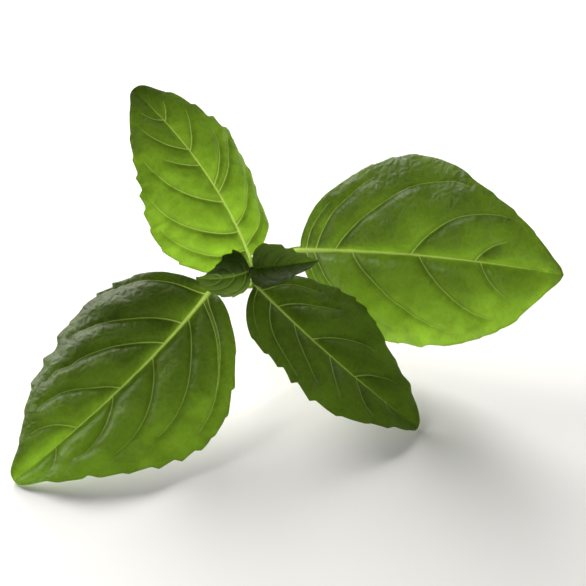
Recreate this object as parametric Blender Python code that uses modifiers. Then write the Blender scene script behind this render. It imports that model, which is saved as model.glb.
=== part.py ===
"""The tip of a sweet basil stem, picked and laid down.

It has a square stem, two opposite pairs of grown leaves set crosswise, one pair of young leaves and
the pair of bud leaves between them.  Metres, +Z up.  The origin is the middle of the base of the
sprig's box, and the longest side lies along X.  The sprig rests on the tips of big_leaf_left and
middle_leaf_front and on the cut end of its stem.

A leaf is one piece: a petiole that leaves the stem, then a blade.  Its midrib is a curve whose
heading (turn about Z from +X) and climb (angle above level) change from base to tip, and the blade
is banked about it.  Each half of the blade rises from the midrib by a fold and then curls over
towards its toothed margin.  Left and right are as seen from the stem, looking along the leaf.
Lengths in the tables are millimetres and angles are degrees.
"""

import math

import bpy
import numpy as np

MM = 0.001
CLEARANCE = 0.3            # gap between pieces that touch on the plant

# The stem: where its top is, how it leans, and where its pairs of leaves stand.
CROWN = np.array([-8.0, 9.27, 25.58])
STEM_LEAN = np.array([-0.12, -0.50, 0.85])
STEM_AXIS = STEM_LEAN / np.linalg.norm(STEM_LEAN)
STEM_LENGTH = 29.0         # from the crown to the cut end
STEM_BOW = 0.8             # how far the middle of the stem bends off a straight line
STEM_RADII = (             # distance below the crown, radius: widest where leaves join
    (2.4, 0.75), (4.0, 1.25), (5.5, 1.05), (9.0, 1.7), (11.5, 1.35), (20.0, 1.45), (29.0, 1.55))
STEM_RINGS = 15
STEM_SIDES = 12
STEM_HOLLOW = 0.10         # how far the stem's flat sides dip between its four corners
PAIR_BIG = 9.0             # each pair's distance below the crown
PAIR_MIDDLE = 4.2
PAIR_YOUNG = 2.1

# The bud at the very tip: two leaves pressed face to face, closed like a flattened egg.
BUD_LENGTH = 2.7
BUD_WIDTH = 0.8
BUD_DEPTH = 0.6
BUD_FOOT = 2.0             # its foot, below the crown
BUD_TAPER = 0.55

# The edge of a blade stands off its plain oval by these factors, at these parts of its length.
EDGE_STATIONS = np.array([0.0, 0.12, 0.3, 0.5, 0.7, 0.88, 1.0])

RIB_HALF_WIDTH = 0.9       # of the thickened strip along the midrib
TIP_HALF_WIDTH = 0.3
PETIOLE_RISE = 0.7         # how steeply a petiole leaves the stem: 1 is 45 degrees
TOOTH_POINT = 0.68         # where a tooth's point stands between the notches before and after it
COLUMNS = 5                # columns of faces on each half of a blade

# How stout a leaf is: half width and depth of its petiole, thickness of its blade, and the number
# of rows of faces along its petiole.
BIG = dict(petiole=0.75, rib=1.4, blade=0.5, stalk_rows=5)
MIDDLE = dict(petiole=0.6, rib=1.1, blade=0.5, stalk_rows=5)
YOUNG = dict(petiole=0.35, rib=0.65, blade=0.3, stalk_rows=2)

# pair: the distance of its node below the crown.  base: the foot of its blade, from the crown.
# heading, climb and bank: the value at the base, then the change from there to the tip; hook is an
# extra turn of the heading that fades out from the base.  oval: how blunt the base and the tip are.
# width, fold, curl and edge: left half, then right half.
LEAVES = {
    "big_leaf_left": dict(
        **BIG, pair=PAIR_BIG, base=(-8.5, -0.35, -5.65), length=57.3,
        heading=(229.0, -17.0), hook=6.5, climb=(-15.5, -8.6), bank=(-33.0, 17.2),
        width=(19.1, 19.1), oval=(0.64, 0.97), fold=(18.0, 20.0), curl=(45.0, 61.0),
        edge=((0.89, 1.04, 1.08, 1.00, 1.02), (1.02, 0.97, 0.98, 1.01, 0.96)),
        teeth=12, tooth_depth=0.055),
    "big_leaf_right": dict(
        **BIG, pair=PAIR_BIG, base=(10.4, 14.35, -7.25), length=58.8,
        heading=(-21.8, 1.0), hook=-1.5, climb=(18.7, -14.5), bank=(60.6, 3.9),
        width=(20.5, 21.1), oval=(0.71, 0.90), fold=(13.0, 17.0), curl=(44.0, 54.0),
        edge=((0.97, 0.99, 1.03, 0.96, 1.00), (0.99, 0.98, 0.98, 1.02, 1.03)),
        teeth=12, tooth_depth=0.035),
    "middle_leaf_back": dict(
        **MIDDLE, pair=PAIR_MIDDLE, base=(-0.5, 5.15, -1.25), length=44.0,
        heading=(149.9, -0.9), hook=2.2, climb=(71.8, -41.5), bank=(-9.9, -11.0),
        width=(17.5, 11.6), oval=(0.51, 0.88), fold=(17.0, 12.5), curl=(49.0, 60.0),
        edge=((0.98, 1.01, 0.99, 0.98, 1.10), (1.06, 0.98, 1.02, 0.97, 1.08)),
        teeth=11, tooth_depth=0.05),
    "middle_leaf_front": dict(
        **MIDDLE, pair=PAIR_MIDDLE, base=(1.0, -1.45, -3.45), length=45.2,
        heading=(-45.5, 27.3), hook=3.6, climb=(-22.3, -12.6), bank=(1.3, 1.8),
        width=(14.5, 11.0), oval=(0.58, 0.79), fold=(13.5, 16.5), curl=(32.0, 51.0),
        edge=((0.97, 1.03, 1.06, 0.89, 0.91), (1.15, 0.95, 0.99, 1.07, 1.03)),
        teeth=10, tooth_depth=0.06),
    "young_leaf_left": dict(
        **YOUNG, pair=PAIR_YOUNG, base=(-0.5, 0.65, -1.25), length=12.5,
        heading=(207.0, -6.2), hook=11.5, climb=(2.8, 22.7), bank=(-66.9, -21.8),
        width=(5.2, 5.6), oval=(0.43, 1.00), fold=(11.4, 20.8), curl=(50.5, 64.5),
        edge=((1.00, 0.98, 0.96, 0.93, 0.98), (1.05, 0.96, 1.01, 0.96, 0.96)),
        teeth=4, tooth_depth=0.05),
    "young_leaf_right": dict(
        **YOUNG, pair=PAIR_YOUNG, base=(0.6, -0.05, 0.25), length=14.4,
        heading=(-16.9, 7.9), hook=-3.1, climb=(21.5, -4.3), bank=(40.0, 7.6),
        width=(5.2, 6.0), oval=(0.48, 1.03), fold=(39.3, 44.6), curl=(12.0, 21.9),
        edge=((1.01, 1.01, 1.00, 0.99, 1.02), (1.04, 0.99, 1.00, 0.97, 1.01)),
        teeth=4, tooth_depth=0.05),
}

COLOURS = {                # linear red, green, blue
    "grown": (0.085, 0.160, 0.022),
    "young": (0.060, 0.095, 0.018),
    "stem": (0.200, 0.330, 0.070),
}


def material(name, colour):
    """A plain leaf or stem finish."""
    made = bpy.data.materials.new(name)
    made.use_nodes = True
    shader = made.node_tree.nodes["Principled BSDF"]
    shader.inputs["Base Color"].default_value = (*colour, 1.0)
    shader.inputs["Roughness"].default_value = 0.45
    shader.inputs["Metallic"].default_value = 0.0
    return made


def smooth_through(stations, values, at):
    """A natural cubic through the values at the stations, read at the given places."""
    count = len(stations)
    step = np.diff(stations)
    slope = np.diff(values) / step
    system = np.eye(count)
    bend = np.zeros(count)
    for i in range(1, count - 1):
        system[i, i - 1:i + 2] = (step[i - 1], 2 * (step[i - 1] + step[i]), step[i])
        bend[i] = 6 * (slope[i] - slope[i - 1])
    bend = np.linalg.solve(system, bend)
    k = np.clip(np.searchsorted(stations, at, side="right") - 1, 0, count - 2)
    low = (stations[k + 1] - at) / step[k]
    high = 1 - low
    curve = (low ** 3 - low) * bend[k] + (high ** 3 - high) * bend[k + 1]
    return low * values[k] + high * values[k + 1] + curve * step[k] ** 2 / 6


def turned(vectors, about, degrees):
    """Row by row, the vectors turned about unit axes."""
    angle = np.radians(degrees)[:, None]
    return vectors * np.cos(angle) + np.cross(about, vectors) * np.sin(angle)


def unit(vectors):
    """The vectors at length 1."""
    return vectors / np.linalg.norm(vectors, axis=-1, keepdims=True)


def midrib(leaf, at):
    """Points, directions and leftward directions of the blade's midrib at parts of its length."""
    fine = np.linspace(0.0, 1.0, 121)
    heading = leaf["heading"][0] + leaf["heading"][1] * fine + leaf["hook"] * (1 - fine) ** 2
    climb = leaf["climb"][0] + leaf["climb"][1] * fine
    turn = np.radians(heading)
    rise = np.radians(climb)
    ahead = np.stack([np.cos(rise) * np.cos(turn), np.cos(rise) * np.sin(turn), np.sin(rise)], axis=1)
    level = np.stack([-np.sin(turn), np.cos(turn), 0 * turn], axis=1)
    left = turned(level, ahead, leaf["bank"][0] + leaf["bank"][1] * fine)
    steps = (ahead[1:] + ahead[:-1]) / 2 * leaf["length"] / (len(fine) - 1)
    points = CROWN + np.array(leaf["base"]) + np.concatenate([np.zeros((1, 3)), np.cumsum(steps, axis=0)])
    points, ahead, left = [np.stack([np.interp(at, fine, line) for line in rail.T], axis=1)
                           for rail in (points, ahead, left)]
    return points, unit(ahead), unit(left)


def petiole(leaf, at):
    """Points, directions and leftward directions from the stem's side (0) to the blade (1)."""
    foot, ahead, left = midrib(leaf, np.zeros(1))
    on_stem = CROWN - STEM_AXIS * leaf["pair"] + bow_at(leaf["pair"])
    outward = foot[0] - on_stem
    outward = unit(outward - STEM_AXIS * (outward @ STEM_AXIS))
    start = on_stem + outward * (radius_at(leaf["pair"]) + CLEARANCE)
    reach = np.linalg.norm(foot[0] - start) / 3
    leave = start + unit(outward + PETIOLE_RISE * STEM_AXIS) * reach
    arrive = foot[0] - ahead[0] * reach
    weights = np.stack([(1 - at) ** 3, 3 * at * (1 - at) ** 2, 3 * at ** 2 * (1 - at), at ** 3], axis=1)
    points = weights @ np.stack([start, leave, arrive, foot[0]])
    slopes = np.stack([(1 - at) ** 2, 2 * at * (1 - at), at ** 2], axis=1)
    heads = unit(slopes @ np.stack([leave - start, arrive - leave, foot[0] - arrive]))
    sides = unit(left - heads * (heads @ left[0])[:, None])
    return points, heads, sides


def half_widths(leaf, side, at, tooth):
    """Half width of the blade, with the margin's teeth where tooth is 1."""
    p, q = leaf["oval"]
    widest = p / (p + q)
    oval = at ** p * (1 - at) ** q / (widest ** p * (1 - widest) ** q)
    edge = leaf["edge"][side]
    edge = np.array([edge[0], *edge, edge[-1]])
    blade = leaf["width"][side] * oval * smooth_through(EDGE_STATIONS, edge, at)
    blade = blade * (1 + leaf["tooth_depth"] * tooth)
    least = leaf["petiole"] + (min(TIP_HALF_WIDTH, leaf["petiole"]) - leaf["petiole"]) * at
    return (least ** 4 + blade ** 4) ** 0.25


def leaf_rows(leaf):
    """Rows from the stem to the tip: part of the blade's length, and 1 on each tooth's point.

    The petiole's rows have negative numbers, from -1 at the stem.
    """
    stalk = np.linspace(-1.0, 0.0, leaf["stalk_rows"], endpoint=False)
    blade = [0.0]
    for k in range(leaf["teeth"]):
        blade += [(k + TOOTH_POINT) / leaf["teeth"], (k + 1.0) / leaf["teeth"]]
    tooth = [0.0] + [1.0, 0.0] * leaf["teeth"]
    tooth[-2] = 0.0
    return np.concatenate([stalk, blade]), np.concatenate([0 * stalk, tooth])


def leaf_surface(leaf, rows, tooth, across):
    """Points of the leaf's upper face, a row for each place along it and a column for each across."""
    stalk = rows < 0
    at = np.where(stalk, 0.0, rows)
    points, ahead, left = midrib(leaf, at)
    points[stalk], ahead[stalk], left[stalk] = petiole(leaf, rows[stalk] + 1)
    up = np.cross(ahead, left)
    surface = np.empty((len(rows), len(across), 3))
    for side, sign in ((0, 1.0), (1, -1.0)):
        half = half_widths(leaf, side, at, tooth)
        fold = math.radians(leaf["fold"][side])
        curl = math.radians(leaf["curl"][side]) / leaf["width"][side]
        for j in np.flatnonzero(across * sign >= 0):
            out = column_offset(half, abs(across[j]))
            beside = (math.sin(fold) - np.sin(fold - curl * out)) / curl
            above = (np.cos(fold - curl * out) - math.cos(fold)) / curl
            surface[:, j] = points + sign * beside[:, None] * left + above[:, None] * up
    return surface


def column_offset(half, part):
    """Distance from the midrib of a column: the first pair follows the rib's edge, the last the margin."""
    first = 1.0 / COLUMNS
    rib = np.minimum(RIB_HALF_WIDTH, half * first)
    if part <= first:
        return rib * part / first
    return rib + (half - rib) * (part - first) / (1 - first)


def thickness(leaf, along, columns_off):
    """Depth of the leaf at a part of its length and a number of columns off its midrib."""
    rib = leaf["rib"] + (leaf["blade"] - leaf["rib"]) * max(along, 0.0) ** 0.6
    if columns_off == 0 or along <= 0:
        return rib
    if columns_off == 1:
        return (rib + leaf["blade"]) / 2
    return leaf["blade"]


def make_leaf(name, leaf, finish):
    """One leaf: a grid laid on the leaf's upper face and thickened downwards."""
    rows, tooth = leaf_rows(leaf)
    across = np.linspace(-1.0, 1.0, 2 * COLUMNS + 1)
    bpy.ops.mesh.primitive_grid_add(x_subdivisions=len(rows) - 1, y_subdivisions=2 * COLUMNS, size=2)
    grid = bpy.context.active_object
    grid.name = name
    grid.data.name = name
    flat = np.empty(len(grid.data.vertices) * 3)
    grid.data.vertices.foreach_get("co", flat)
    flat = flat.reshape(-1, 3)
    row = np.rint((flat[:, 0] + 1) / 2 * (len(rows) - 1)).astype(int)
    column = np.rint((flat[:, 1] + 1) * COLUMNS).astype(int)
    placed = leaf_surface(leaf, rows, tooth, across)[row, column] * MM
    grid.data.vertices.foreach_set("co", placed.ravel())
    grid.data.shade_smooth()
    grid.data.materials.append(finish)

    depths = grid.vertex_groups.new(name="thickness")
    for index in range(len(placed)):
        depth = thickness(leaf, rows[row[index]], abs(column[index] - COLUMNS))
        depths.add([index], depth / leaf["rib"], "REPLACE")
    wall = grid.modifiers.new("Leaf thickness", "SOLIDIFY")
    wall.thickness = leaf["rib"] * MM
    wall.offset = -1.0
    wall.vertex_group = "thickness"
    return grid


def radius_at(below):
    """The stem's radius at a distance below the crown."""
    places, radii = np.array(STEM_RADII).T
    return float(np.interp(below, places, radii))


def bow_at(below):
    """The stem's small bend off its straight line."""
    along = np.clip(below / STEM_LENGTH, 0.0, 1.0)
    return np.array([STEM_BOW * math.sin(math.pi * along), 0.0, 0.0])


def make_stem(finish):
    """A square stem with rounded corners, swollen at its nodes and cut square at its foot."""
    outline = bpy.data.curves.new("stem_section", "CURVE")
    outline.dimensions = "2D"
    ring = outline.splines.new("POLY")
    ring.points.add(STEM_SIDES - 1)
    for k, point in enumerate(ring.points):
        angle = 2 * math.pi * k / STEM_SIDES
        reach = MM * (1 - STEM_HOLLOW * math.cos(2 * angle) ** 2)
        point.co = (reach * math.cos(math.pi / 4 - angle), reach * math.sin(math.pi / 4 - angle), 0, 1)
    ring.use_cyclic_u = True
    section = bpy.data.objects.new("stem_section", outline)
    section.hide_render = True
    section.display_type = "WIRE"

    path = bpy.data.curves.new("stem", "CURVE")
    path.dimensions = "3D"
    path.bevel_mode = "OBJECT"
    path.bevel_object = section
    path.use_fill_caps = True
    line = path.splines.new("POLY")
    line.points.add(STEM_RINGS - 1)
    places = np.array(STEM_RADII)[:, 0]
    below = np.interp(np.linspace(0, len(places) - 1, STEM_RINGS), range(len(places)), places)
    for point, place in zip(line.points, below):
        spot = (CROWN - STEM_AXIS * place + bow_at(place)) * MM
        point.co = (*spot, 1)
        point.radius = radius_at(place)
    path.materials.append(finish)
    return bpy.data.objects.new("stem", path), section


def make_bud(finish):
    """The closed bud: a round form drawn out to a point along the stem's axis."""
    bpy.ops.mesh.primitive_uv_sphere_add(segments=10, ring_count=7, radius=1.0)
    bud = bpy.context.active_object
    bud.name = "tip_bud"
    bud.data.name = "tip_bud"
    across = unit(np.cross(STEM_AXIS, np.array([0.0, 0.0, 1.0])))
    beside = np.cross(STEM_AXIS, across)
    foot = CROWN - STEM_AXIS * BUD_FOOT
    for vertex in bud.data.vertices:
        x, y, z = vertex.co
        height = (z + 1) / 2
        slim = 1 - BUD_TAPER * height ** 2
        spot = foot + STEM_AXIS * BUD_LENGTH * height
        spot = spot + across * (x * slim * BUD_WIDTH / 2) + beside * (y * slim * BUD_DEPTH / 2)
        vertex.co = spot * MM
    bud.data.shade_smooth()
    bud.data.materials.append(finish)
    return bud


def build():
    """The whole sprig, in a collection of its own."""
    for old in list(bpy.data.objects):
        bpy.data.objects.remove(old)
    sprig = bpy.data.collections.new("basil_sprig")
    guides = bpy.data.collections.new("guides")
    bpy.context.scene.collection.children.link(sprig)
    bpy.context.scene.collection.children.link(guides)

    stem, section = make_stem(material("stem_green", COLOURS["stem"]))
    sprig.objects.link(stem)
    guides.objects.link(section)
    grown = material("grown_leaf_green", COLOURS["grown"])
    young = material("young_leaf_green", COLOURS["young"])
    finishes = {PAIR_BIG: grown, PAIR_MIDDLE: grown, PAIR_YOUNG: young}
    pieces = [make_leaf(name, leaf, finishes[leaf["pair"]]) for name, leaf in LEAVES.items()]
    for piece in pieces + [make_bud(young)]:
        for home in list(piece.users_collection):
            home.objects.unlink(piece)
        sprig.objects.link(piece)


build()
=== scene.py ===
"""The looks of a picked sprig of sweet basil, lying on a white table and lit from behind.

Each leaf is one closed sheet: a grid given a thickness and then laid on the leaf's shape, with its
blade puffed up between sunken side veins, its margin toothed, and its midrib and petiole rounded
underneath.  Lengths in the tables are millimetres and angles are degrees.  A leaf's left and right
are as seen from the stem, looking along the leaf.
"""

import math

import bpy
import numpy as np
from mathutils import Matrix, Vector, noise


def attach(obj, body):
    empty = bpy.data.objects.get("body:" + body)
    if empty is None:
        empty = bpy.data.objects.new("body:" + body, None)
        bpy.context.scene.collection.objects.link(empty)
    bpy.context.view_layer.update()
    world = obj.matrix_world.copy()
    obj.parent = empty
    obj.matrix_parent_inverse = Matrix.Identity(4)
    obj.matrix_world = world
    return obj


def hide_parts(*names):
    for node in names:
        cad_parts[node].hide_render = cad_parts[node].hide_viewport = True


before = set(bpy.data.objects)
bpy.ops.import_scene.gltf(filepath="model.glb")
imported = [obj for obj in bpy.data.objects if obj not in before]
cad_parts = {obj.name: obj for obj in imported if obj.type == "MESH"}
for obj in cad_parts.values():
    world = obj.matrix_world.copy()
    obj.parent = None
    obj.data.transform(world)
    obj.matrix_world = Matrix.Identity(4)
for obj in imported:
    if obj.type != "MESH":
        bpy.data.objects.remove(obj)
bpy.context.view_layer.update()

MM = 0.001

# ---------------------------------------------------------------- the sprig's driving dimensions

CROWN = np.array([-8.0, 9.27, 25.58])       # the growing tip, from the middle of the box's base
STEM_LEAN = np.array([-0.12, -0.50, 0.85])
STEM_AXIS = STEM_LEAN / np.linalg.norm(STEM_LEAN)
STEM_LENGTH = 29.0
STEM_BOW = 0.8
STEM_RADII = (             # distance below the crown, radius: widest where leaves join
    (1.5, 1.0), (4.0, 1.25), (5.5, 1.05), (9.0, 1.7), (11.5, 1.35), (20.0, 1.45), (29.0, 1.55))
STEM_TOP = 1.5             # where the stem ends below the crown, inside the bud
STEM_DIP = 0.13            # how far the stem's flat sides dip between its four corners
PAIR_BIG = 9.0
PAIR_MIDDLE = 4.2
PAIR_YOUNG = 2.1
BUD_FOOT = 2.5             # the bud's foot, below the crown
BUD_LENGTH = 3.3
BUD_WIDTH = 0.80
BUD_DEPTH = 0.62
BUD_TAPER = 0.55
EDGE_STATIONS = np.array([0.0, 0.12, 0.3, 0.5, 0.7, 0.88, 1.0])
TIP_HALF_WIDTH = 0.3
PETIOLE_RISE = 0.7
INTO_STEM = 0.5            # how far a petiole's foot is sunk into the stem
TOOTH_RISE = 0.82          # the part of a tooth's length over which it rises
FULL_WIDTH = 19.0          # half width of a leaf whose relief is at full size
BLADE_START = 3.0          # the length over which the blade takes over from the petiole
GROOVE_DEPTH = 0.18        # of the petiole's groove, as a part of its half width
GROOVE_FADE = 12.0         # the length over which the groove fades out along the blade
GROWN_NET = 2.6            # size of the cells of the net of fine veins
YOUNG_NET = 1.5

BIG = dict(petiole=0.75, rib=1.4, blade=0.34, rows=240, stalk_rows=30, side_columns=66)
MIDDLE = dict(petiole=0.6, rib=1.1, blade=0.32, rows=210, stalk_rows=16, side_columns=56)
YOUNG = dict(petiole=0.35, rib=0.6, blade=0.26, rows=110, stalk_rows=10, side_columns=40)

# pair: the distance of its node below the crown.  base: the foot of its blade, from the crown.
# heading, climb and bank: the value at the base, then the change from there to the tip; hook is an
# extra turn of the heading that fades out from the base.  oval: how blunt the base and the tip are.
# width, fold, curl and edge: left half, then right half.  edge: factors on the plain oval.
# blunt: the size of the rounded tip.  puff: the blade's height between its veins.
# clear: painted glow and painted shade, factors on the light let through at the base and at the tip, then
# for the left and the right half.
# lobes: half, place along the leaf, reach, and how far the margin bulges there.
# veins: where each leaves the midrib, where it ends along the leaf, and how far out it ends there.
LEAVES = {
    "big_leaf_left": dict(
        **BIG, pair=PAIR_BIG, base=(-8.5, -0.35, -5.65), length=57.3,
        heading=(229.0, -17.0), hook=6.5, climb=(-15.5, -8.6), bank=(-33.0, 17.2),
        width=(19.1, 19.1), oval=(0.64, 0.97), fold=(18.0, 20.0), curl=(45.0, 61.0),
        edge=((0.89, 1.04, 1.08, 1.00, 1.02), (1.02, 0.97, 0.98, 1.01, 0.96)),
        teeth=12, tooth_depth=0.9, blunt=2.8, puff=2.0, seed=1.0, clear=(0.30, 1.20, 1.5, 0.5),
        lobes=((1, 0.4, 0.09, 0.5), (1, 0.575, 0.035, -1.0), (0, 0.79, 0.014, -1.0)),
        veins=(((0.02, 0.42, 0.86), (0.05, 0.35, 0.84), (0.14, 0.53, 0.67), (0.34, 0.68, 0.68),
                (0.54, 0.80, 0.58), (0.81, 0.88, 0.58)),
               ((0.02, 0.28, 0.96), (0.17, 0.50, 0.85), (0.27, 0.67, 0.76), (0.50, 0.76, 0.68),
                (0.71, 0.85, 0.63)))),
    "big_leaf_right": dict(
        **BIG, pair=PAIR_BIG, base=(10.4, 14.35, -7.25), length=58.8,
        heading=(-21.8, 1.0), hook=-1.5, climb=(18.7, -14.5), bank=(60.6, 3.9),
        width=(20.5, 21.1), oval=(0.71, 0.90), fold=(13.0, 17.0), curl=(44.0, 54.0),
        edge=((0.97, 0.99, 1.03, 0.96, 1.00), (0.99, 0.98, 0.98, 1.02, 1.03)),
        teeth=12, tooth_depth=0.32, blunt=2.4, puff=2.0, seed=2.0, clear=(0.85, 1.0, 0.52, 1.15),
        lobes=((0, 0.6, 0.05, 0.4), (1, 0.84, 0.05, 0.6)),
        veins=(((0.02, 0.14, 0.80), (0.06, 0.30, 0.84), (0.14, 0.65, 0.88), (0.44, 0.80, 0.84),
                (0.68, 0.80, 0.45)),
               ((0.02, 0.16, 0.85), (0.05, 0.30, 0.78), (0.21, 0.62, 0.85), (0.47, 0.76, 0.76),
                (0.70, 0.81, 0.48)))),
    "middle_leaf_back": dict(
        **MIDDLE, pair=PAIR_MIDDLE, base=(-0.5, 5.15, -1.25), length=44.0,
        heading=(149.9, -0.9), hook=2.2, climb=(71.8, -41.5), bank=(-9.9, -11.0),
        width=(17.5, 11.6), oval=(0.51, 0.88), fold=(17.0, 12.5), curl=(49.0, 60.0),
        edge=((0.98, 1.01, 0.99, 0.98, 1.10), (1.06, 0.98, 1.02, 0.97, 1.08)),
        teeth=11, tooth_depth=0.8, blunt=2.6, puff=1.6, seed=3.0, clear=(1.02, 0.14, 1.0, 0.8),
        lobes=((1, 0.55, 0.045, 1.2), (1, 0.43, 0.05, -0.5), (1, 0.06, 0.06, 0.9)),
        veins=(((0.04, 0.40, 0.88), (0.15, 0.54, 0.87), (0.32, 0.71, 0.81), (0.53, 0.66, 0.48),
                (0.62, 0.85, 0.66), (0.80, 0.89, 0.45)),
               ((0.06, 0.26, 0.86), (0.18, 0.36, 0.78), (0.37, 0.54, 0.84), (0.41, 0.61, 0.70),
                (0.61, 0.76, 0.62), (0.79, 0.86, 0.45)))),
    "middle_leaf_front": dict(
        **MIDDLE, pair=PAIR_MIDDLE, base=(1.0, -1.45, -3.45), length=45.2,
        heading=(-45.5, 27.3), hook=3.6, climb=(-22.3, -12.6), bank=(1.3, 1.8),
        width=(14.5, 11.0), oval=(0.58, 0.79), fold=(13.5, 16.5), curl=(32.0, 51.0),
        edge=((0.97, 1.03, 1.06, 0.89, 0.91), (1.15, 0.95, 0.99, 1.07, 1.03)),
        teeth=10, tooth_depth=0.9, blunt=2.0, puff=1.8, seed=4.0, clear=(0.36, 0.48, 0.9, 1.15),
        lobes=((0, 0.8, 0.03, -0.4),),
        veins=(((0.03, 0.22, 0.75), (0.14, 0.36, 0.60), (0.36, 0.62, 0.60), (0.62, 0.80, 0.60)),
               ((0.01, 0.16, 0.80), (0.10, 0.42, 0.88), (0.25, 0.50, 0.70), (0.47, 0.62, 0.66),
                (0.63, 0.78, 0.72), (0.80, 0.87, 0.45)))),
    "young_leaf_left": dict(
        **YOUNG, pair=PAIR_YOUNG, base=(-0.5, 0.65, -1.25), length=12.5,
        heading=(207.0, -6.2), hook=11.5, climb=(2.8, 22.7), bank=(-66.9, -21.8),
        width=(5.2, 5.6), oval=(0.43, 1.00), fold=(11.4, 20.8), curl=(50.5, 64.5),
        edge=((1.00, 0.98, 0.96, 0.93, 0.98), (1.05, 0.96, 1.01, 0.96, 0.96)),
        teeth=5, tooth_depth=0.6, blunt=0.5, puff=0.42, seed=5.0, clear=(0.5, 0.45, 1, 1),
        lobes=(),
        veins=(((0.06, 0.45, 0.80), (0.28, 0.68, 0.75), (0.52, 0.82, 0.65)),
               ((0.06, 0.45, 0.80), (0.28, 0.68, 0.75), (0.52, 0.82, 0.65)))),
    "young_leaf_right": dict(
        **YOUNG, pair=PAIR_YOUNG, base=(0.6, -0.05, 0.25), length=14.4,
        heading=(-16.9, 7.9), hook=-3.1, climb=(21.5, -4.3), bank=(40.0, 7.6),
        width=(5.2, 6.0), oval=(0.48, 1.03), fold=(39.3, 44.6), curl=(12.0, 21.9),
        edge=((1.01, 1.01, 1.00, 0.99, 1.02), (1.04, 0.99, 1.00, 0.97, 1.01)),
        teeth=5, tooth_depth=0.7, blunt=0.4, puff=0.32, seed=6.0, clear=(0.7, 0.8, 1, 1),
        lobes=(),
        veins=(((0.10, 0.42, 0.80), (0.32, 0.66, 0.75), (0.55, 0.82, 0.65)),
               ((0.10, 0.42, 0.80), (0.32, 0.66, 0.75), (0.55, 0.82, 0.65)))),
}


# ---------------------------------------------------------------- the leaf's plain shape

def smooth_through(stations, values, at):
    """A natural cubic through the values at the stations, read at the given places."""
    count = len(stations)
    step = np.diff(stations)
    slope = np.diff(values) / step
    system = np.eye(count)
    bend = np.zeros(count)
    for i in range(1, count - 1):
        system[i, i - 1:i + 2] = (step[i - 1], 2 * (step[i - 1] + step[i]), step[i])
        bend[i] = 6 * (slope[i] - slope[i - 1])
    bend = np.linalg.solve(system, bend)
    k = np.clip(np.searchsorted(stations, at, side="right") - 1, 0, count - 2)
    low = (stations[k + 1] - at) / step[k]
    high = 1 - low
    curve = (low ** 3 - low) * bend[k] + (high ** 3 - high) * bend[k + 1]
    return low * values[k] + high * values[k + 1] + curve * step[k] ** 2 / 6


def unit(vectors):
    """The vectors at length 1."""
    return vectors / np.linalg.norm(vectors, axis=-1, keepdims=True)


def turned(vectors, about, degrees):
    """Row by row, the vectors turned about unit axes."""
    angle = np.radians(degrees)[:, None]
    return vectors * np.cos(angle) + np.cross(about, vectors) * np.sin(angle)


def radius_at(below):
    """The stem's radius at a distance below the crown."""
    places, radii = np.array(STEM_RADII).T
    return float(np.interp(below, places, radii))


def stem_at(below):
    """The middle of the stem at a distance below the crown."""
    along = np.clip(below / STEM_LENGTH, 0.0, 1.0)
    return CROWN - STEM_AXIS * below + np.array([STEM_BOW * math.sin(math.pi * along), 0.0, 0.0])


def midrib(leaf, at):
    """Points, directions and leftward directions of the blade's midrib at parts of its length."""
    fine = np.linspace(0.0, 1.0, 121)
    heading = leaf["heading"][0] + leaf["heading"][1] * fine + leaf["hook"] * (1 - fine) ** 2
    climb = leaf["climb"][0] + leaf["climb"][1] * fine
    turn = np.radians(heading)
    rise = np.radians(climb)
    ahead = np.stack([np.cos(rise) * np.cos(turn), np.cos(rise) * np.sin(turn), np.sin(rise)], axis=1)
    level = np.stack([-np.sin(turn), np.cos(turn), 0 * turn], axis=1)
    left = turned(level, ahead, leaf["bank"][0] + leaf["bank"][1] * fine)
    steps = (ahead[1:] + ahead[:-1]) / 2 * leaf["length"] / (len(fine) - 1)
    points = CROWN + np.array(leaf["base"]) + np.concatenate([np.zeros((1, 3)), np.cumsum(steps, axis=0)])
    points, ahead, left = [np.stack([np.interp(at, fine, line) for line in rail.T], axis=1)
                           for rail in (points, ahead, left)]
    return points, unit(ahead), unit(left)


def petiole(leaf, at):
    """Points, directions and leftward directions from inside the stem (0) to the blade (1)."""
    foot, ahead, left = midrib(leaf, np.zeros(1))
    on_stem = stem_at(leaf["pair"])
    outward = foot[0] - on_stem
    outward = unit(outward - STEM_AXIS * (outward @ STEM_AXIS))
    start = on_stem + outward * (radius_at(leaf["pair"]) - INTO_STEM)
    reach = np.linalg.norm(foot[0] - start) / 3
    leave = start + unit(outward + PETIOLE_RISE * STEM_AXIS) * reach
    arrive = foot[0] - ahead[0] * reach
    weights = np.stack([(1 - at) ** 3, 3 * at * (1 - at) ** 2, 3 * at ** 2 * (1 - at), at ** 3], axis=1)
    points = weights @ np.stack([start, leave, arrive, foot[0]])
    slopes = np.stack([(1 - at) ** 2, 2 * at * (1 - at), at ** 2], axis=1)
    heads = unit(slopes @ np.stack([leave - start, arrive - leave, foot[0] - arrive]))
    sides = unit(left - heads * (heads @ left[0])[:, None])
    return points, heads, sides


def teeth_on(leaf, side, at):
    """How far the margin's teeth stand out, in millimetres: each rises slowly and drops off sharply."""
    phase = at * leaf["teeth"] + 0.32 + 0.25 * np.sin(9.0 * at + 2.1 * leaf["seed"] + 1.7 * side)
    part = phase % 1.0
    saw = np.where(part < TOOTH_RISE, (part / TOOTH_RISE) ** 1.4, (1 - part) / (1 - TOOTH_RISE))
    strength = np.clip((at - 0.10) / 0.12, 0, 1) * np.clip((0.985 - at) / 0.08, 0, 1)
    uneven = 0.75 + 0.45 * np.sin(5.1 * np.floor(phase) + leaf["seed"] * 3.0 + side)
    return leaf["tooth_depth"] * strength * uneven * (saw - 0.35)


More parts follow.
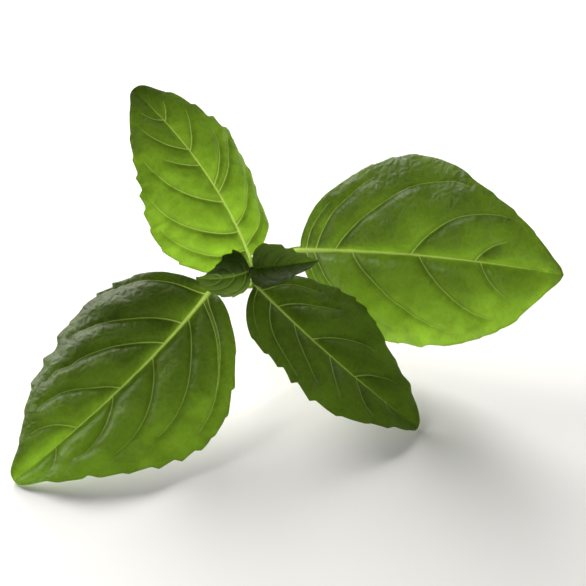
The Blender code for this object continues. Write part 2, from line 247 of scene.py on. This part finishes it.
def half_widths(leaf, side, at, toothed=True):
    """Half width of the blade, to its toothed margin or to a smooth line through the teeth."""
    p, q = leaf["oval"]
    widest = p / (p + q)
    oval = at ** p * (1 - at) ** q / (widest ** p * (1 - widest) ** q)
    edge = leaf["edge"][side]
    edge = np.array([edge[0], *edge, edge[-1]])
    blade = leaf["width"][side] * oval * smooth_through(EDGE_STATIONS, edge, at)
    if toothed:
        blade = blade + teeth_on(leaf, side, at)
    for one, middle, reach, out in leaf["lobes"]:
        if one == side:
            blade = blade + out * np.exp(-((at - middle) / reach) ** 2)
    blade = np.maximum(blade, 0.0)
    least = leaf["petiole"] + (TIP_HALF_WIDTH - leaf["petiole"]) * at
    to_tip = np.clip((1 - at) * leaf["length"] / leaf["blunt"], 0, 1)
    cap = leaf["blunt"] * np.sqrt(to_tip * (2 - to_tip))
    return (least ** 4 + blade ** 4 + (cap * (at > 0.5)) ** 4) ** 0.25


def offsets_across(leaf, half):
    """Distances from the midrib of the columns on one side: close together over the rib, then even."""
    count = leaf["side_columns"]
    rib_columns = 9
    rib = np.minimum(leaf["petiole"] * 1.5, half * rib_columns / count)
    over_rib = rib[:, None] * np.linspace(0, 1, rib_columns + 1)[None, :-1]
    beyond = rib[:, None] + (half - rib)[:, None] * np.linspace(0, 1, count - rib_columns + 1)[None, :]
    return np.concatenate([over_rib, beyond], axis=1)


# ---------------------------------------------------------------- veins and relief

def vein_line(leaf, side, vein, points=44):
    """A side vein's places along the leaf and off its midrib, in millimetres, and its fading strength."""
    start, end, out = vein
    part = np.linspace(0, 1, points)
    late = 1.7 + 9.0 * math.exp(-start / 0.06)
    early = 0.3 + 0.3 * min(max((start - 0.2) / 0.3, 0.0), 1.0)
    along = start + (end - start) * (early * part + (1 - early) * part ** late)
    off = out * part * half_widths(leaf, side, along, toothed=False)
    return along * leaf["length"], off, (1 - 0.2 * start) * (1 - 0.6 * part ** 2)


def distance_to(line_along, line_off, strength, along, off):
    """Distance from each place to a vein, its side of the vein (+ or -), and the vein's strength there."""
    nearest = np.full(along.shape, 1e9)
    here = np.zeros(along.shape)
    side = np.ones(along.shape)
    for k in range(len(line_along) - 1):
        step = np.array([line_along[k + 1] - line_along[k], line_off[k + 1] - line_off[k]])
        size = step @ step + 1e-12
        part = ((along - line_along[k]) * step[0] + (off - line_off[k]) * step[1]) / size
        part = np.clip(part, 0, 1)
        gap = np.hypot(along - line_along[k] - part * step[0], off - line_off[k] - part * step[1])
        closer = gap < nearest
        nearest = np.where(closer, gap, nearest)
        here = np.where(closer, strength[k] + (strength[k + 1] - strength[k]) * part, here)
        turn = (along - line_along[k]) * step[1] - (off - line_off[k]) * step[0]
        side = np.where(closer, np.where(turn < 0, -1.0, 1.0), side)
    return nearest, side, here


def relief(leaf, side, along, off, half):
    """Height of the upper face over its plain shape, and where its side veins run."""
    size = leaf["width"][0] / FULL_WIDTH
    height = np.ones(along.shape)
    nearest = np.full(along.shape, 1e9)
    signed = np.zeros(along.shape)
    strongest = np.zeros(along.shape)
    for one in leaf["veins"][side]:
        gap, turn, strength = distance_to(*vein_line(leaf, side, one), along, off)
        reach = gap / size ** 0.7
        groove = 0.58 * np.exp(-(reach / 0.8) ** 2) + 0.42 * np.exp(-(reach / 2.8) ** 2)
        height *= 1 - strength * groove
        closer = gap < nearest
        nearest = np.where(closer, gap, nearest)
        signed = np.where(closer, gap * turn, signed)
        strongest = np.where(closer, strength, strongest)
    toward_tip = np.clip(along / leaf["length"], 0, 1)
    rib_width = leaf["petiole"] * np.clip(1.0 - 0.92 * toward_tip ** 0.65, 0.05, 1)
    height *= 1 - np.exp(-(off / (1.7 * size ** 0.7)) ** 2)
    rib = np.exp(-(off / (0.74 * rib_width)) ** 4) * np.clip((1 - toward_tip) / 0.15, 0, 1)
    part_out = off / np.maximum(half, 0.01)
    height *= (1 - 0.55 * part_out ** 3) * np.clip((1 - toward_tip) / 0.25, 0.15, 1) ** 0.7
    return leaf["puff"] * height, dict(near=nearest, vein_side=signed, vein=strongest, rib=rib)


def cells(along, off, seed, size):
    """Distance from the edges of a network of irregular cells, 0 on the network and about 1 inside."""
    flat = np.stack([along.ravel() / size, off.ravel() / size * 0.8], axis=1)
    found = np.empty(len(flat))
    for k, (x, y) in enumerate(flat):
        gaps = noise.voronoi(Vector((x, y, seed)))[0]
        found[k] = gaps[1] - gaps[0]
    return np.clip(found.reshape(along.shape) * 1.6, 0, 1)


def swells(along, off, seed, size):
    """Slow random rises and falls, from about -1 to 1."""
    flat = np.stack([along.ravel() / size, off.ravel() / size], axis=1)
    found = [noise.noise(Vector((x, y, seed))) for x, y in flat]
    return np.array(found).reshape(along.shape) * 1.8


def leaf_faces(leaf):
    """Upper and lower face of a leaf, row by row, with the paint values of each place."""
    rows = np.concatenate([np.linspace(-1, 0, leaf["stalk_rows"], endpoint=False),
                           np.linspace(0, 1, leaf["rows"]) ** 1.15])
    stalk = rows < 0
    at = np.where(stalk, 0.0, rows)
    points, ahead, left = midrib(leaf, at)
    points[stalk], ahead[stalk], left[stalk] = petiole(leaf, rows[stalk] + 1)
    up = np.cross(ahead, left)
    stalk_length = np.linalg.norm(points[stalk][0] - points[stalk][-1]) * 1.08
    along_rows = np.where(stalk, rows * stalk_length, rows * leaf["length"])

    halves = []
    for side, sign in ((0, 1.0), (1, -1.0)):
        half = half_widths(leaf, side, at)
        half[stalk] = leaf["petiole"]
        out = offsets_across(leaf, half)
        fold = math.radians(leaf["fold"][side])
        curl = math.radians(leaf["curl"][side]) / leaf["width"][side]
        beside = (math.sin(fold) - np.sin(fold - curl * out)) / curl
        above = (np.cos(fold - curl * out) - math.cos(fold)) / curl
        face = points[:, None] + sign * beside[..., None] * left[:, None] + above[..., None] * up[:, None]
        along = np.broadcast_to(along_rows[:, None], out.shape)
        height, marks = relief(leaf, side, along, out, half[:, None])
        height[stalk] = 0
        halves.append(dict(face=face, out=out, along=along, half=half[:, None] + 0 * out,
                           height=height, **marks))
    join = {key: np.concatenate([halves[1][key][:, :0:-1], halves[0][key]], axis=1) for key in halves[0]}
    signed = np.concatenate([-halves[1]["out"][:, :0:-1], halves[0]["out"]], axis=1)

    on_blade = np.clip(join["along"] / BLADE_START, 0, 1)
    net = cells(join["along"], signed, leaf["seed"], YOUNG_NET if leaf["pair"] == PAIR_YOUNG else GROWN_NET)
    slow = swells(join["along"], signed, leaf["seed"] + 20, 7.0)
    quick = swells(join["along"], signed, leaf["seed"] + 40, 2.6)
    part_out = join["out"] / np.maximum(join["half"], 0.01)
    scale = leaf["width"][0] / FULL_WIDTH
    height = join["height"] + on_blade * scale * (1 - join["rib"]) * (
        0.09 * (net ** 0.6 - 0.6) + 0.15 * quick + 0.46 * slow * np.clip(part_out * 1.5, 0, 1))
    groove = GROOVE_DEPTH * np.exp(-np.maximum(join["along"] - BLADE_START, 0) / GROOVE_FADE)
    height = height - groove * leaf["petiole"] * (1 - np.clip(join["out"] / leaf["petiole"], 0, 1) ** 2)
    rim = np.clip((join["half"] - join["out"]) / 0.35, 0, 1)
    normal = unit(np.cross(np.gradient(join["face"], axis=0), np.gradient(join["face"], axis=1)))
    upper = join["face"] + normal * height[..., None]

    toward_tip = np.clip(join["along"] / leaf["length"], 0, 1)
    rib_reach = leaf["petiole"] * (1.02 - 0.72 * toward_tip)
    round_rib = np.sqrt(np.clip(1 - (join["out"] / rib_reach) ** 2, 0, 1))
    rib_depth = (leaf["rib"] - leaf["blade"]) * (1 - 0.85 * toward_tip ** 0.6)
    depth = leaf["blade"] * (0.45 + 0.55 * rim) * on_blade + rib_depth * round_rib
    # clear paints glow and shade: the let-through light is scaled leaf by leaf, from base to tip and from
    # side to side
    base, tip, at_left, at_right = leaf["clear"]
    leftward = 0.5 + 0.5 * np.clip(np.where(signed < 0, -part_out, part_out) * 1.4, -1, 1)
    clear = (base + (tip - base) * toward_tip ** 2) * (at_right + (at_left - at_right) * leftward)
    under_vein = join["vein"] * np.exp(-(join["near"] / 0.32) ** 2)
    depth = depth + 0.30 * scale * on_blade * under_vein + 0.05 * (1 - on_blade)
    lower = upper - normal * depth[..., None]
    paint = dict(near=join["near"], vein_side=join["vein_side"], vein=join["vein"], rib=join["rib"],
                 along=join["along"], across=signed, clear=clear)
    return upper, lower, paint


# ---------------------------------------------------------------- node helpers

def fresh_material(name):
    """A material with an empty node tree and its output."""
    made = bpy.data.materials.new(name)
    made.use_nodes = True
    made.node_tree.nodes.clear()
    out = made.node_tree.nodes.new("ShaderNodeOutputMaterial")
    return made, made.node_tree, out


def attribute(tree, name):
    """The value painted on the leaf under a name."""
    node = tree.nodes.new("ShaderNodeAttribute")
    node.attribute_name = name
    return node.outputs["Fac"]


def place(tree, name, value, output=0, **inputs):
    """A node with constants set and sockets linked by name."""
    node = tree.nodes.new(name)
    for key, given in (value or {}).items():
        setattr(node, key, given)
    for key, given in inputs.items():
        socket = node.inputs[int(key[1:])] if key[0] == "i" and key[1:].isdigit() else node.inputs[key]
        if isinstance(given, bpy.types.NodeSocket):
            tree.links.new(given, socket)
        else:
            socket.default_value = given
    return node.outputs[output]


def arithmetic(tree, operation, a, b=0.0, clamp=False):
    """One step of arithmetic on a value."""
    return place(tree, "ShaderNodeMath", dict(operation=operation, use_clamp=clamp), i0=a, i1=b)


def ramp(tree, value, low, high, to_low=0.0, to_high=1.0):
    """A smooth change of a value from one range to another."""
    return place(tree, "ShaderNodeMapRange", dict(interpolation_type="SMOOTHSTEP"),
                 i0=value, i1=low, i2=high, i3=to_low, i4=to_high)


def blend_colour(tree, part, first, second):
    """Two colours mixed."""
    node = tree.nodes.new("ShaderNodeMix")
    node.data_type = "RGBA"
    for socket, given in ((node.inputs[0], part), (node.inputs[6], first), (node.inputs[7], second)):
        if isinstance(given, bpy.types.NodeSocket):
            tree.links.new(given, socket)
        else:
            socket.default_value = (*given, 1.0) if isinstance(given, tuple) else given
    return node.outputs[2]


# ---------------------------------------------------------------- finishes

def leaf_finish(name, dark, light, vein, shine, through, through_vein, through_part, underside=False):
    """Satin leaf skin over green flesh that lets light through, with painted shade beside the veins and
    painted glow and shade on the light let through.
    """
    made, tree, out = fresh_material(name)
    where = tree.nodes.new("ShaderNodeTexCoord").outputs["Object"]
    flat = place(tree, "ShaderNodeCombineXYZ", None, X=attribute(tree, "along"), Y=attribute(tree, "across"))
    mottle = place(tree, "ShaderNodeTexNoise", None, Vector=where, Scale=160.0, Detail=4.0, Roughness=0.6)
    speckle = place(tree, "ShaderNodeTexNoise", None, Vector=where, Scale=2600.0, Detail=2.0)
    wander = place(tree, "ShaderNodeTexNoise", None, 1, Vector=flat, Scale=0.5, Detail=2.0)
    warped = place(tree, "ShaderNodeVectorMath", dict(operation="MULTIPLY_ADD"), i0=wander,
                   i1=(1.6, 1.6, 0.0), i2=flat)
    mesh = place(tree, "ShaderNodeTexVoronoi", dict(feature="DISTANCE_TO_EDGE", voronoi_dimensions="2D"),
                 Vector=warped, Scale=0.62)
    off_line = arithmetic(tree, "ABSOLUTE", attribute(tree, "vein_side"))
    strength = attribute(tree, "vein")
    reach = arithmetic(tree, "MULTIPLY_ADD", strength, 0.16)
    reach.node.inputs[2].default_value = 0.04
    line = arithmetic(tree, "SUBTRACT", 1.0, arithmetic(tree, "DIVIDE", off_line, reach), clamp=True)
    line = arithmetic(tree, "MULTIPLY", line, ramp(tree, attribute(tree, "near"), 0.6, 0.35))
    brightness = ramp(tree, strength, 0.1, 0.9, 0.45, 0.95)
    line = arithmetic(tree, "MULTIPLY", ramp(tree, line, 0.0, 0.8), brightness)
    line = arithmetic(tree, "MULTIPLY", line, ramp(tree, attribute(tree, "along"), -0.5, 0.5))
    ribbed = attribute(tree, "rib")
    netted = arithmetic(tree, "MULTIPLY", ramp(tree, mesh, 0.10, 0.0), 0.08)

    patchy = ramp(tree, mottle, 0.32, 0.68)
    flesh = blend_colour(tree, patchy, dark, light)
    # painted shade: the flesh and its let-through light are darkened beside each side vein, as shade in the
    # vein's groove
    beside = arithmetic(tree, "MULTIPLY", ramp(tree, attribute(tree, "near"), 1.3, 0.1), strength)
    beside = ramp(tree, beside, 0.0, 1.0, 1.0, 0.78)
    flesh = place(tree, "ShaderNodeVectorMath", dict(operation="SCALE"), i0=flesh, Scale=beside)
    pale = arithmetic(tree, "MAXIMUM", arithmetic(tree, "MAXIMUM", line, ribbed), netted, clamp=True)
    skin = blend_colour(tree, pale, flesh, vein)
    glow = blend_colour(tree, patchy, tuple(c * 0.86 for c in through), through)
    # the let-through light is scaled by the painted glow and shade of clear and by the painted groove shade
    painted_glow_shade = arithmetic(tree, "MULTIPLY", arithmetic(tree, "POWER", attribute(tree, "clear"), 0.5), beside)
    glow = place(tree, "ShaderNodeVectorMath", dict(operation="SCALE"), i0=glow, Scale=painted_glow_shade)
    glow = blend_colour(tree, pale, glow, through_vein)

    rough = arithmetic(tree, "ADD", arithmetic(tree, "MULTIPLY", mottle, 0.16), 0.62 if underside else 0.36)
    cushions = ramp(tree, mesh, -0.05, 0.60)
    dimple = arithmetic(tree, "ADD", arithmetic(tree, "MULTIPLY", speckle, 0.25), cushions)
    bump = place(tree, "ShaderNodeBump", None, Strength=0.8, Distance=0.00014, Height=dimple)

    shader = tree.nodes.new("ShaderNodeBsdfPrincipled")
    tree.links.new(skin, shader.inputs["Base Color"])
    tree.links.new(rough, shader.inputs["Roughness"])
    tree.links.new(bump, shader.inputs["Normal"])
    shader.inputs["IOR"].default_value = 1.42
    shader.inputs["Specular IOR Level"].default_value = shine
    shader.inputs["Sheen Weight"].default_value = 0.10
    shader.inputs["Sheen Roughness"].default_value = 0.45

    lit = tree.nodes.new("ShaderNodeBsdfTranslucent")
    tree.links.new(glow, lit.inputs["Color"])
    tree.links.new(bump, lit.inputs["Normal"])
    mixed = tree.nodes.new("ShaderNodeMixShader")
    mixed.inputs[0].default_value = through_part
    tree.links.new(shader.outputs[0], mixed.inputs[1])
    tree.links.new(lit.outputs[0], mixed.inputs[2])
    tree.links.new(mixed.outputs[0], out.inputs["Surface"])
    return made


def stem_finish():
    """Pale green stem with fine lengthwise streaks."""
    made, tree, out = fresh_material("stem_skin")
    where = tree.nodes.new("ShaderNodeTexCoord").outputs["Object"]
    streak = place(tree, "ShaderNodeTexNoise", None, Vector=where, Scale=900.0, Detail=3.0)
    colour = blend_colour(tree, streak, (0.085, 0.165, 0.028), (0.20, 0.31, 0.07))
    bump = place(tree, "ShaderNodeBump", None, Strength=0.3, Distance=0.0001, Height=streak)
    shader = tree.nodes.new("ShaderNodeBsdfPrincipled")
    tree.links.new(colour, shader.inputs["Base Color"])
    tree.links.new(bump, shader.inputs["Normal"])
    shader.inputs["Roughness"].default_value = 0.42
    tree.links.new(shader.outputs[0], out.inputs["Surface"])
    return made


def cut_finish():
    """The stem's cut end: pale wet pith with fine grain."""
    made, tree, out = fresh_material("cut_pith")
    where = tree.nodes.new("ShaderNodeTexCoord").outputs["Object"]
    grain = place(tree, "ShaderNodeTexVoronoi", None, Vector=where, Scale=6000.0)
    colour = blend_colour(tree, grain, (0.52, 0.60, 0.34), (0.30, 0.42, 0.16))
    bump = place(tree, "ShaderNodeBump", None, Strength=0.4, Distance=0.00008, Height=grain)
    shader = tree.nodes.new("ShaderNodeBsdfPrincipled")
    tree.links.new(colour, shader.inputs["Base Color"])
    tree.links.new(bump, shader.inputs["Normal"])
    shader.inputs["Roughness"].default_value = 0.35
    tree.links.new(shader.outputs[0], out.inputs["Surface"])
    return made


# ---------------------------------------------------------------- pieces

def deselect_all():
    """Nothing stays selected, so an operator acts only on the new piece."""
    for thing in bpy.context.selected_objects:
        thing.select_set(False)


def finish_piece(piece, node):
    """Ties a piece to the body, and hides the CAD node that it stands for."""
    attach(piece, "root")
    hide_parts(node)


def make_leaf(node, leaf, skins):
    """A leaf: a grid given a thickness, whose two sides are then laid on the leaf's two faces."""
    deselect_all()
    upper, lower, paint = leaf_faces(leaf)
    rows, columns = upper.shape[:2]
    bpy.ops.mesh.primitive_grid_add(x_subdivisions=rows - 1, y_subdivisions=columns - 1, size=2)
    piece = bpy.context.active_object
    piece.name = node.replace("_leaf", "") + "_blade"
    piece.data.name = piece.name
    for skin in skins:
        piece.data.materials.append(skin)
    thickness = 0.1
    wall = piece.modifiers.new("Wall", "SOLIDIFY")
    wall.thickness = thickness
    wall.offset = -1.0
    wall.material_offset = 1
    bpy.ops.object.modifier_apply(modifier=wall.name)

    flat = np.empty(len(piece.data.vertices) * 3)
    piece.data.vertices.foreach_get("co", flat)
    flat = flat.reshape(-1, 3)
    row = np.rint((flat[:, 0] + 1) / 2 * (rows - 1)).astype(int)
    column = np.rint((flat[:, 1] + 1) / 2 * (columns - 1)).astype(int)
    on_top = flat[:, 2] > -thickness / 2
    spots = np.where(on_top[:, None], upper[row, column], lower[row, column]) * MM
    piece.data.vertices.foreach_set("co", spots.ravel())
    for name, values in paint.items():
        layer = piece.data.attributes.new(name, "FLOAT", "POINT")
        layer.data.foreach_set("value", values[row, column].astype(np.float32))
    piece.data.shade_smooth()
    piece.data.update()
    finish_piece(piece, node)


def make_stem(skin, pith):
    """The square stem: a cylinder cut into rings, each ring set to the stem's width and place."""
    deselect_all()
    rings = 90
    sides = 48
    bpy.ops.mesh.primitive_cylinder_add(vertices=sides, radius=1, depth=2, end_fill_type="NGON")
    piece = bpy.context.active_object
    piece.name = "square_stem"
    piece.data.name = "square_stem"
    bpy.ops.object.mode_set(mode="EDIT")
    bpy.ops.mesh.select_mode(type="EDGE")
    bpy.ops.mesh.select_all(action="DESELECT")
    bpy.ops.object.mode_set(mode="OBJECT")
    for edge in piece.data.edges:
        ends = [piece.data.vertices[v].co.z for v in edge.vertices]
        edge.select = abs(ends[0] - ends[1]) > 1
    bpy.ops.object.mode_set(mode="EDIT")
    bpy.ops.mesh.subdivide(number_cuts=rings)
    bpy.ops.object.mode_set(mode="OBJECT")
    side = unit(np.cross(STEM_AXIS, np.array([1.0, 0.0, 0.0])))
    front = np.cross(side, STEM_AXIS)
    for vertex in piece.data.vertices:
        x, y, z = vertex.co
        part = (1 - z) / 2
        below = STEM_TOP + (STEM_LENGTH - STEM_TOP) * part
        angle = math.atan2(y, x)
        dip = STEM_DIP * math.cos(2 * angle) ** 2 * min(1, part * 3)
        reach = radius_at(below) * math.hypot(x, y) * (1 - dip)
        spot = stem_at(below) + (front * math.cos(angle) + side * math.sin(angle)) * reach
        vertex.co = spot * MM
    piece.data.materials.append(skin)
    piece.data.materials.append(pith)
    for face in piece.data.polygons:
        face.material_index = 1 if len(face.vertices) > 4 else 0
    piece.data.shade_smooth()
    deselect_all()
    piece.select_set(True)
    bpy.ops.object.shade_smooth_by_angle(angle=math.radians(50))
    finish_piece(piece, "stem")


def make_bud(skin):
    """The closed bud at the tip: two small leaves pressed face to face."""
    deselect_all()
    bpy.ops.mesh.primitive_uv_sphere_add(segments=32, ring_count=24, radius=1.0)
    piece = bpy.context.active_object
    piece.name = "closed_bud"
    piece.data.name = "closed_bud"
    across = unit(np.cross(STEM_AXIS, np.array([0.0, 0.0, 1.0])))
    beside = np.cross(STEM_AXIS, across)
    foot = CROWN - STEM_AXIS * BUD_FOOT
    for vertex in piece.data.vertices:
        x, y, z = vertex.co
        height = (z + 1) / 2
        slim = 1 - BUD_TAPER * height ** 2
        seam = 1 - 0.25 * math.exp(-(y / 0.15) ** 2) * (abs(x) > 0.2)
        spot = foot + STEM_AXIS * BUD_LENGTH * height
        spot = spot + across * (x * slim * BUD_WIDTH * seam) + beside * (y * slim * BUD_DEPTH)
        vertex.co = spot * MM
    # clear stays 0 here, so the bud gets none of the painted glow and its let-through light is black
    for name in ("near", "vein", "rib", "along", "across", "clear"):
        piece.data.attributes.new(name, "FLOAT", "POINT")
    layer = piece.data.attributes.new("vein_side", "FLOAT", "POINT")
    layer.data.foreach_set("value", [5.0] * len(piece.data.vertices))
    piece.data.materials.append(skin)
    piece.data.shade_smooth()
    finish_piece(piece, "tip_bud")


# ---------------------------------------------------------------- the sprig

grown_top = leaf_finish("grown_leaf_top", dark=(0.050, 0.062, 0.023), light=(0.078, 0.092, 0.030),
                        vein=(0.40, 0.50, 0.22), shine=0.42, through=(0.60, 0.82, 0.18),
                        through_vein=(0.80, 0.92, 0.42), through_part=0.60)
grown_under = leaf_finish("grown_leaf_underside", dark=(0.10, 0.15, 0.045), light=(0.14, 0.20, 0.06),
                          vein=(0.44, 0.52, 0.22), shine=0.30, through=(0.60, 0.82, 0.18),
                          through_vein=(0.80, 0.92, 0.42), through_part=0.60, underside=True)
young_top = leaf_finish("young_leaf_top", dark=(0.068, 0.092, 0.024), light=(0.098, 0.128, 0.032),
                        vein=(0.13, 0.18, 0.05), shine=0.40, through=(0.52, 0.70, 0.18),
                        through_vein=(0.52, 0.68, 0.22), through_part=0.45)
young_under = leaf_finish("young_leaf_underside", dark=(0.08, 0.13, 0.035), light=(0.11, 0.16, 0.05),
                          vein=(0.20, 0.28, 0.08), shine=0.30, through=(0.52, 0.70, 0.18),
                          through_vein=(0.52, 0.68, 0.22), through_part=0.45, underside=True)

for node, leaf in LEAVES.items():
    young = leaf["pair"] == PAIR_YOUNG
    make_leaf(node, leaf, (young_top, young_under) if young else (grown_top, grown_under))
make_stem(stem_finish(), cut_finish())
make_bud(young_top)


# ---------------------------------------------------------------- table, light and camera

def make_table():
    """A plain white table top."""
    deselect_all()
    bpy.ops.mesh.primitive_plane_add(size=6.0, location=(0, 0, 0))
    table = bpy.context.active_object
    table.name = "white_table"
    made, tree, out = fresh_material("white_table_top")
    shader = tree.nodes.new("ShaderNodeBsdfPrincipled")
    shader.inputs["Base Color"].default_value = (0.84, 0.83, 0.82, 1.0)
    shader.inputs["Roughness"].default_value = 0.75
    shader.inputs["Specular IOR Level"].default_value = 0.2
    tree.links.new(shader.outputs[0], out.inputs["Surface"])
    table.data.materials.append(made)


def make_lights():
    """A large soft light low behind the sprig and to its left, and an even glow from all round."""
    lamp = bpy.data.lights.new("back_light", "AREA")
    lamp.shape = "RECTANGLE"
    lamp.size = 1.25
    lamp.size_y = 0.72
    lamp.energy = 36.0
    lamp.color = (1.0, 0.985, 0.955)
    holder = bpy.data.objects.new("back_light", lamp)
    bpy.context.scene.collection.objects.link(holder)
    toward = Vector((-0.48, 0.74, 0.47)).normalized()
    holder.location = toward * 1.0
    holder.rotation_euler = toward.to_track_quat("Z", "Y").to_euler()
    world = bpy.data.worlds.new("soft_room")
    bpy.context.scene.world = world
    world.use_nodes = True
    glow = world.node_tree.nodes["Background"]
    glow.inputs["Color"].default_value = (0.97, 0.985, 1.0, 1.0)
    glow.inputs["Strength"].default_value = 0.08


def make_camera():
    """A long lens looking down on the sprig."""
    aim = Vector((0.72, 16.43, 12.32)) * MM
    tilt = math.radians(42)
    distance = 0.420
    lens = bpy.data.cameras.new("camera")
    lens.lens = 120.0
    lens.sensor_width = 36.0
    lens.clip_start = 0.01
    camera = bpy.data.objects.new("camera", lens)
    camera.location = aim + Vector((0, -math.cos(tilt), math.sin(tilt))) * distance
    camera.rotation_euler = (math.pi / 2 - tilt, 0, 0)
    bpy.context.scene.collection.objects.link(camera)
    bpy.context.scene.camera = camera


make_table()
make_lights()
make_camera()
bpy.context.scene.view_settings.view_transform = "Standard"
